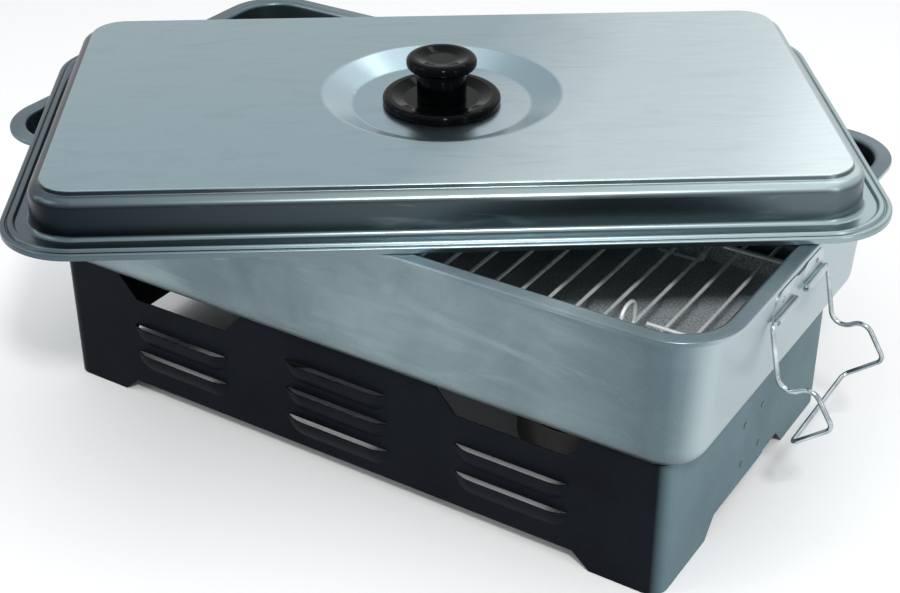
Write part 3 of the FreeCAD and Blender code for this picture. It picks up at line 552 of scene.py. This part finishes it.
tray_material, tree = material("grained_tray_steel")
place = add(tree, "ShaderNodeTexCoord").outputs["Object"]
marks = use(tree, SMUDGES_AND_GLINTS, place, Patch_Size=8.0, Streak_Size=30.0)
dust = use(tree, DUST, place, Speck_Size=600.0, Amount=1.0, Grain_Size=900.0)
own = parted(tree, place)
colour = blend_colour(tree, rise(tree, dust["Grain"], SPECKLE_LEVELS), TRAY_DARK, TRAY_LIGHT)
colour = cover(tree, colour, TRAY_DARK, marks["Patches"], share=0.25)
# Painted shade: a slanted dark band, wandering with the smudges, covers the tray away from its
# front right corner.
slant = plus(tree, own["X"], times(tree, own["Y"], SHADE_SLANT))
slant = plus(tree, slant, spread(tree, marks["Patches"], -SHADE_WANDER, SHADE_WANDER))
colour = blend_colour(tree, spread(tree, slant, SHADE_SHARE, 0.0, *SHADE_REACH),
                      colour, TRAY_PAINTED_SHADE)
surface(tree, {"Metallic": TRAY_METALLIC}, colour,
        spread(tree, dust["Grain"], *TRAY_ROUGHNESS), bump(tree, dust["Grain"], *TRAY_GRAIN))
coat(tray_material, "drip_tray")


# Rack
# Bright plated steel wires, resistance welded where they cross: cross wires on
# two rails, a bow at each end, four lifting loops and four legs.
RACK_PLATE = (0.95, 0.98, 0.98, 1)
RACK_PLATE_DULL = (0.60, 0.66, 0.67, 1)
RACK_METALLIC = 0.15
RACK_GLOSS = 0.9
RACK_ROUGHNESS = (0.24, 0.38)

rack_material, tree = material("plated_rack_wire")
place = add(tree, "ShaderNodeTexCoord").outputs["Object"]
marks = use(tree, SMUDGES_AND_GLINTS, place, Patch_Size=60.0, Streak_Size=240.0)
dust = use(tree, DUST, place, Speck_Size=900.0, Amount=0.8, Grain_Size=2400.0)
surface(tree, {"Metallic": RACK_METALLIC, "Specular IOR Level": RACK_GLOSS},
        cover(tree, RACK_PLATE, RACK_PLATE_DULL, marks["Patches"], share=0.7),
        spread(tree, marks["Patches"], *RACK_ROUGHNESS), bump(tree, dust["Grain"], *WIRE_GRAIN))
coat(rack_material, "rack_cross_wires", "rack_rails", "rack_end_bows", "rack_lifting_loops",
     "rack_legs")


# Lid
# One pressed stainless sheet with a rolled lip, a bead, a ledge and a round dish
# for the knob. The top is belt polished, with a painted sheen that lightens it to
# the right. The walls are smooth; painted reflections keep them dark, with painted
# glints, and painted shade blackens the left end.
LID_TOP_PAINTED_SHEEN = (0.54, 0.63, 0.65, 1)
LID_TOP_PAINTED_SHADE = (0.245, 0.335, 0.375, 1)
LID_TOP_STAIN = (0.17, 0.235, 0.27, 1)
# Painted reflections: the walls, shoulder and ledge go from dark on the left to light on the
# right, and the shoulder is lighter than the walls below it.
LID_WALL_LEFT = (0.007, 0.012, 0.016, 1)
LID_WALL_RIGHT = (0.100, 0.132, 0.145, 1)
LID_END_SHADE = (0.010, 0.015, 0.019, 1)
LID_WALL_PAINTED_GLINT = (0.24, 0.31, 0.33, 1)
LID_SHOULDER_LEFT = (0.050, 0.074, 0.088, 1)
LID_SHOULDER_RIGHT = (0.36, 0.44, 0.44, 1)
LID_LEDGE_LEFT = (0.072, 0.100, 0.118, 1)
LID_LEDGE_RIGHT = (0.27, 0.345, 0.36, 1)
DISH_SLOPE_LEFT = (0.33, 0.43, 0.48, 1)
DISH_SLOPE_RIGHT = (0.20, 0.29, 0.33, 1)
LID_ROUGHNESS = (0.28, 0.24)
LID_LINES = (0.05, 0.0002)
# Where the finishes and the painted light and shade change, in the lid's own coordinates.
LID_YAW = 35.0
LID_REACH = (-0.20, 0.20)
LID_END_REACH = (-0.198, -0.186)
LID_END_SHARE = 0.85
LEDGE_LEVEL = 0.1592
CREASE_LEVEL = 0.1786
LEVEL_BLEND = 0.0012
DISH_FLOOR_RADIUS = 0.0462
DISH_RADIUS = 0.0618
DISH_BLEND = 0.001
FLATTENED = (1.0, 1.0, 0.0)
DISH_SLANT = -0.6
DISH_SIDE_REACH = (-0.05, 0.06)
SHEEN_SLANT = -0.35
SHEEN_WANDER = 0.012
SHEEN_STEEP_SHARE = 0.78
SHEEN_STEEP_REACH = (0.0, 0.085)
SHEEN_SLOW_SHARE = 0.22
SHEEN_SLOW_REACH = (0.08, 0.2)
STAIN_STREAK_SHARE = 0.24
STAIN_FADE = (1.0, 0.3)
FLECK_FADE = (1.0, 0.1)
FLECK_REACH = (-0.12, 0.0)
LINE_LEVELS = (0.35, 0.7)
GLINT_STRETCH = (1.0, 1.0, 7.0)
GLINT_SHARE = 0.7
GLINT_LEVELS = (0.15, 0.9)
GLINT_GAIN = (0.25, 1.0)
GLINT_ACROSS = (0.3, 0.7)
SHOULDER_TURN = (0.25, 0.70)
TOP_TURN = (0.6, 0.9)

lid_material, tree = material("belt_polished_stainless")
turned = add(tree, "ShaderNodeMapping", vector_type="TEXTURE")
turned.inputs["Rotation"].default_value = (0, 0, math.radians(LID_YAW))
tree.links.new(add(tree, "ShaderNodeTexCoord").outputs["Object"], turned.inputs["Vector"])
place = turned.outputs[0]
marks = use(tree, SMUDGES_AND_GLINTS, place, Patch_Size=6.5, Streak_Size=22.0, Streak_Stretch=4.0)
lines = use(tree, POLISH_LINES, place, Stretch=(0.03, 1.0, 1.0), Line_Size=1500.0)
dust = use(tree, DUST, place, Speck_Size=260.0, Amount=0.8, Grain_Size=1500.0)
painted_glints = use(tree, SMUDGES_AND_GLINTS, stretched(tree, place, GLINT_STRETCH),
             Patch_Size=20.0, Streak_Size=9.0, Streak_Stretch=1.0)
own = parted(tree, place)
up = facing(tree, "Z")
across = rise(tree, own["X"], LID_REACH)

# The top panel: a painted slanted sheen, stains and flecks on its painted dark side, belt lines.
slant = plus(tree, own["X"], times(tree, own["Y"], SHEEN_SLANT))
slant = plus(tree, slant, spread(tree, marks["Patches"], -SHEEN_WANDER, SHEEN_WANDER))
sheen = plus(tree, spread(tree, slant, 0.0, SHEEN_STEEP_SHARE, *SHEEN_STEEP_REACH),
             spread(tree, slant, 0.0, SHEEN_SLOW_SHARE, *SHEEN_SLOW_REACH))
top_colour = blend_colour(tree, sheen, LID_TOP_PAINTED_SHADE, LID_TOP_PAINTED_SHEEN)
stain = times(tree, spread(tree, marks["Streaks"], 0.0, STAIN_STREAK_SHARE),
              spread(tree, sheen, *STAIN_FADE))
top_colour = blend_colour(tree, stain, top_colour, LID_TOP_STAIN)
flecks = times(tree, dust["Specks"], spread(tree, own["X"], *FLECK_FADE, *FLECK_REACH))
top_colour = cover(tree, top_colour, LID_TOP_STAIN, flecks, share=0.5)
top_colour = cover(tree, top_colour, LID_TOP_STAIN, lines["Lines"], share=0.10,
                   levels=LINE_LEVELS)

# The dish: a painted reflection makes its slope lighter on the left than on the right.
length = add(tree, "ShaderNodeVectorMath", operation="LENGTH")
tree.links.new(stretched(tree, place, FLATTENED), length.inputs[0])
radius = length.outputs["Value"]
dish_side = rise(tree, plus(tree, own["X"], times(tree, own["Y"], DISH_SLANT)), DISH_SIDE_REACH)
slope_colour = blend_colour(tree, dish_side, DISH_SLOPE_LEFT, DISH_SLOPE_RIGHT)
past_floor = rise(tree, radius,
                  (DISH_FLOOR_RADIUS - DISH_BLEND, DISH_FLOOR_RADIUS + DISH_BLEND))
before_rim = fall(tree, radius, (DISH_RADIUS - DISH_BLEND, DISH_RADIUS + DISH_BLEND))
on_slope = times(tree, past_floor, before_rim)
top_colour = blend_colour(tree, on_slope, top_colour, slope_colour)

# The walls, the shoulder above them and the ledge and lip below them, with painted
# reflections from dark on the left to light on the right, painted glints on the
# walls and painted shade at the left end.
painted_glint = times(tree, spread(tree, painted_glints["Streaks"], 0.0, GLINT_SHARE, *GLINT_LEVELS),
              spread(tree, across, *GLINT_GAIN, *GLINT_ACROSS))
wall_colour = blend_colour(tree, across, LID_WALL_LEFT, LID_WALL_RIGHT)
wall_colour = blend_colour(tree, painted_glint, wall_colour, LID_WALL_PAINTED_GLINT)
shoulder_colour = blend_colour(tree, across, LID_SHOULDER_LEFT, LID_SHOULDER_RIGHT)
ledge_colour = blend_colour(tree, across, LID_LEDGE_LEFT, LID_LEDGE_RIGHT)
colour = blend_colour(tree, rise(tree, up, SHOULDER_TURN), wall_colour, shoulder_colour)
colour = blend_colour(tree, spread(tree, own["X"], LID_END_SHARE, 0.0, *LID_END_REACH),
                      colour, LID_END_SHADE)
on_ledge = fall(tree, own["Z"], (LEDGE_LEVEL, LEDGE_LEVEL + LEVEL_BLEND))
colour = blend_colour(tree, on_ledge, colour, ledge_colour)
on_top = times(tree, rise(tree, own["Z"], (CREASE_LEVEL, CREASE_LEVEL + LEVEL_BLEND)),
               rise(tree, up, TOP_TURN))
in_dish = fall(tree, radius, (DISH_RADIUS, DISH_RADIUS + DISH_BLEND))
top_or_dish = joined(tree, "MAXIMUM", on_top, in_dish)
colour = blend_colour(tree, top_or_dish, colour, top_colour)
surface(tree, BARE_METAL, colour, spread(tree, top_or_dish, *LID_ROUGHNESS),
        bump(tree, lines["Lines"], *LID_LINES))
coat(lid_material, "lid")


# Knob
# A two-part black phenolic knob, a dished skirt under a mushroom grip, drawn down
# on the lid by a screw and washer from below into a brass insert.
KNOB_BLACK = (0.0008, 0.0010, 0.0012, 1)
KNOB_HAZE = (0.0024, 0.0032, 0.0040, 1)
KNOB_GLOSS = {"IOR": 1.14, "Specular IOR Level": 0.5, "Specular Tint": (0.80, 0.95, 1.0, 1)}
KNOB_ROUGHNESS = (0.05, 0.14)
KNOB_GRAIN = (0.03, 0.0002)
FASTENER_STEEL = (0.45, 0.46, 0.47, 1)
FASTENER_MARK = (0.25, 0.26, 0.27, 1)
INSERT_BRASS = (0.60, 0.43, 0.18, 1)
INSERT_MARK = (0.35, 0.24, 0.10, 1)
FASTENER_ROUGHNESS = (0.25, 0.45)

knob_material, tree = material("glossy_phenolic")
place = add(tree, "ShaderNodeTexCoord").outputs["Object"]
marks = use(tree, SMUDGES_AND_GLINTS, place, Patch_Size=48.0, Streak_Size=160.0)
dust = use(tree, DUST, place, Speck_Size=900.0, Amount=0.5, Grain_Size=900.0)
surface(tree, KNOB_GLOSS, cover(tree, KNOB_BLACK, KNOB_HAZE, marks["Patches"], share=0.35),
        spread(tree, marks["Patches"], *KNOB_ROUGHNESS), bump(tree, dust["Grain"], *KNOB_GRAIN))
coat(knob_material, "knob_skirt", "knob_grip")

for finish, plain_colour, mark_colour, pieces in (
        ("fastener_steel", FASTENER_STEEL, FASTENER_MARK, ("knob_screw", "knob_washer")),
        ("insert_brass", INSERT_BRASS, INSERT_MARK, ("knob_insert",))):
    fastener_material, tree = material(finish)
    place = add(tree, "ShaderNodeTexCoord").outputs["Object"]
    marks = use(tree, SMUDGES_AND_GLINTS, place, Patch_Size=120.0, Streak_Size=300.0)
    lines = use(tree, POLISH_LINES, place, Stretch=(1.0, 1.0, 8.0), Line_Size=1500.0)
    surface(tree, BARE_METAL, blend_colour(tree, marks["Patches"], plain_colour, mark_colour),
            spread(tree, lines["Lines"], *FASTENER_ROUGHNESS))
    coat(fastener_material, *pieces)
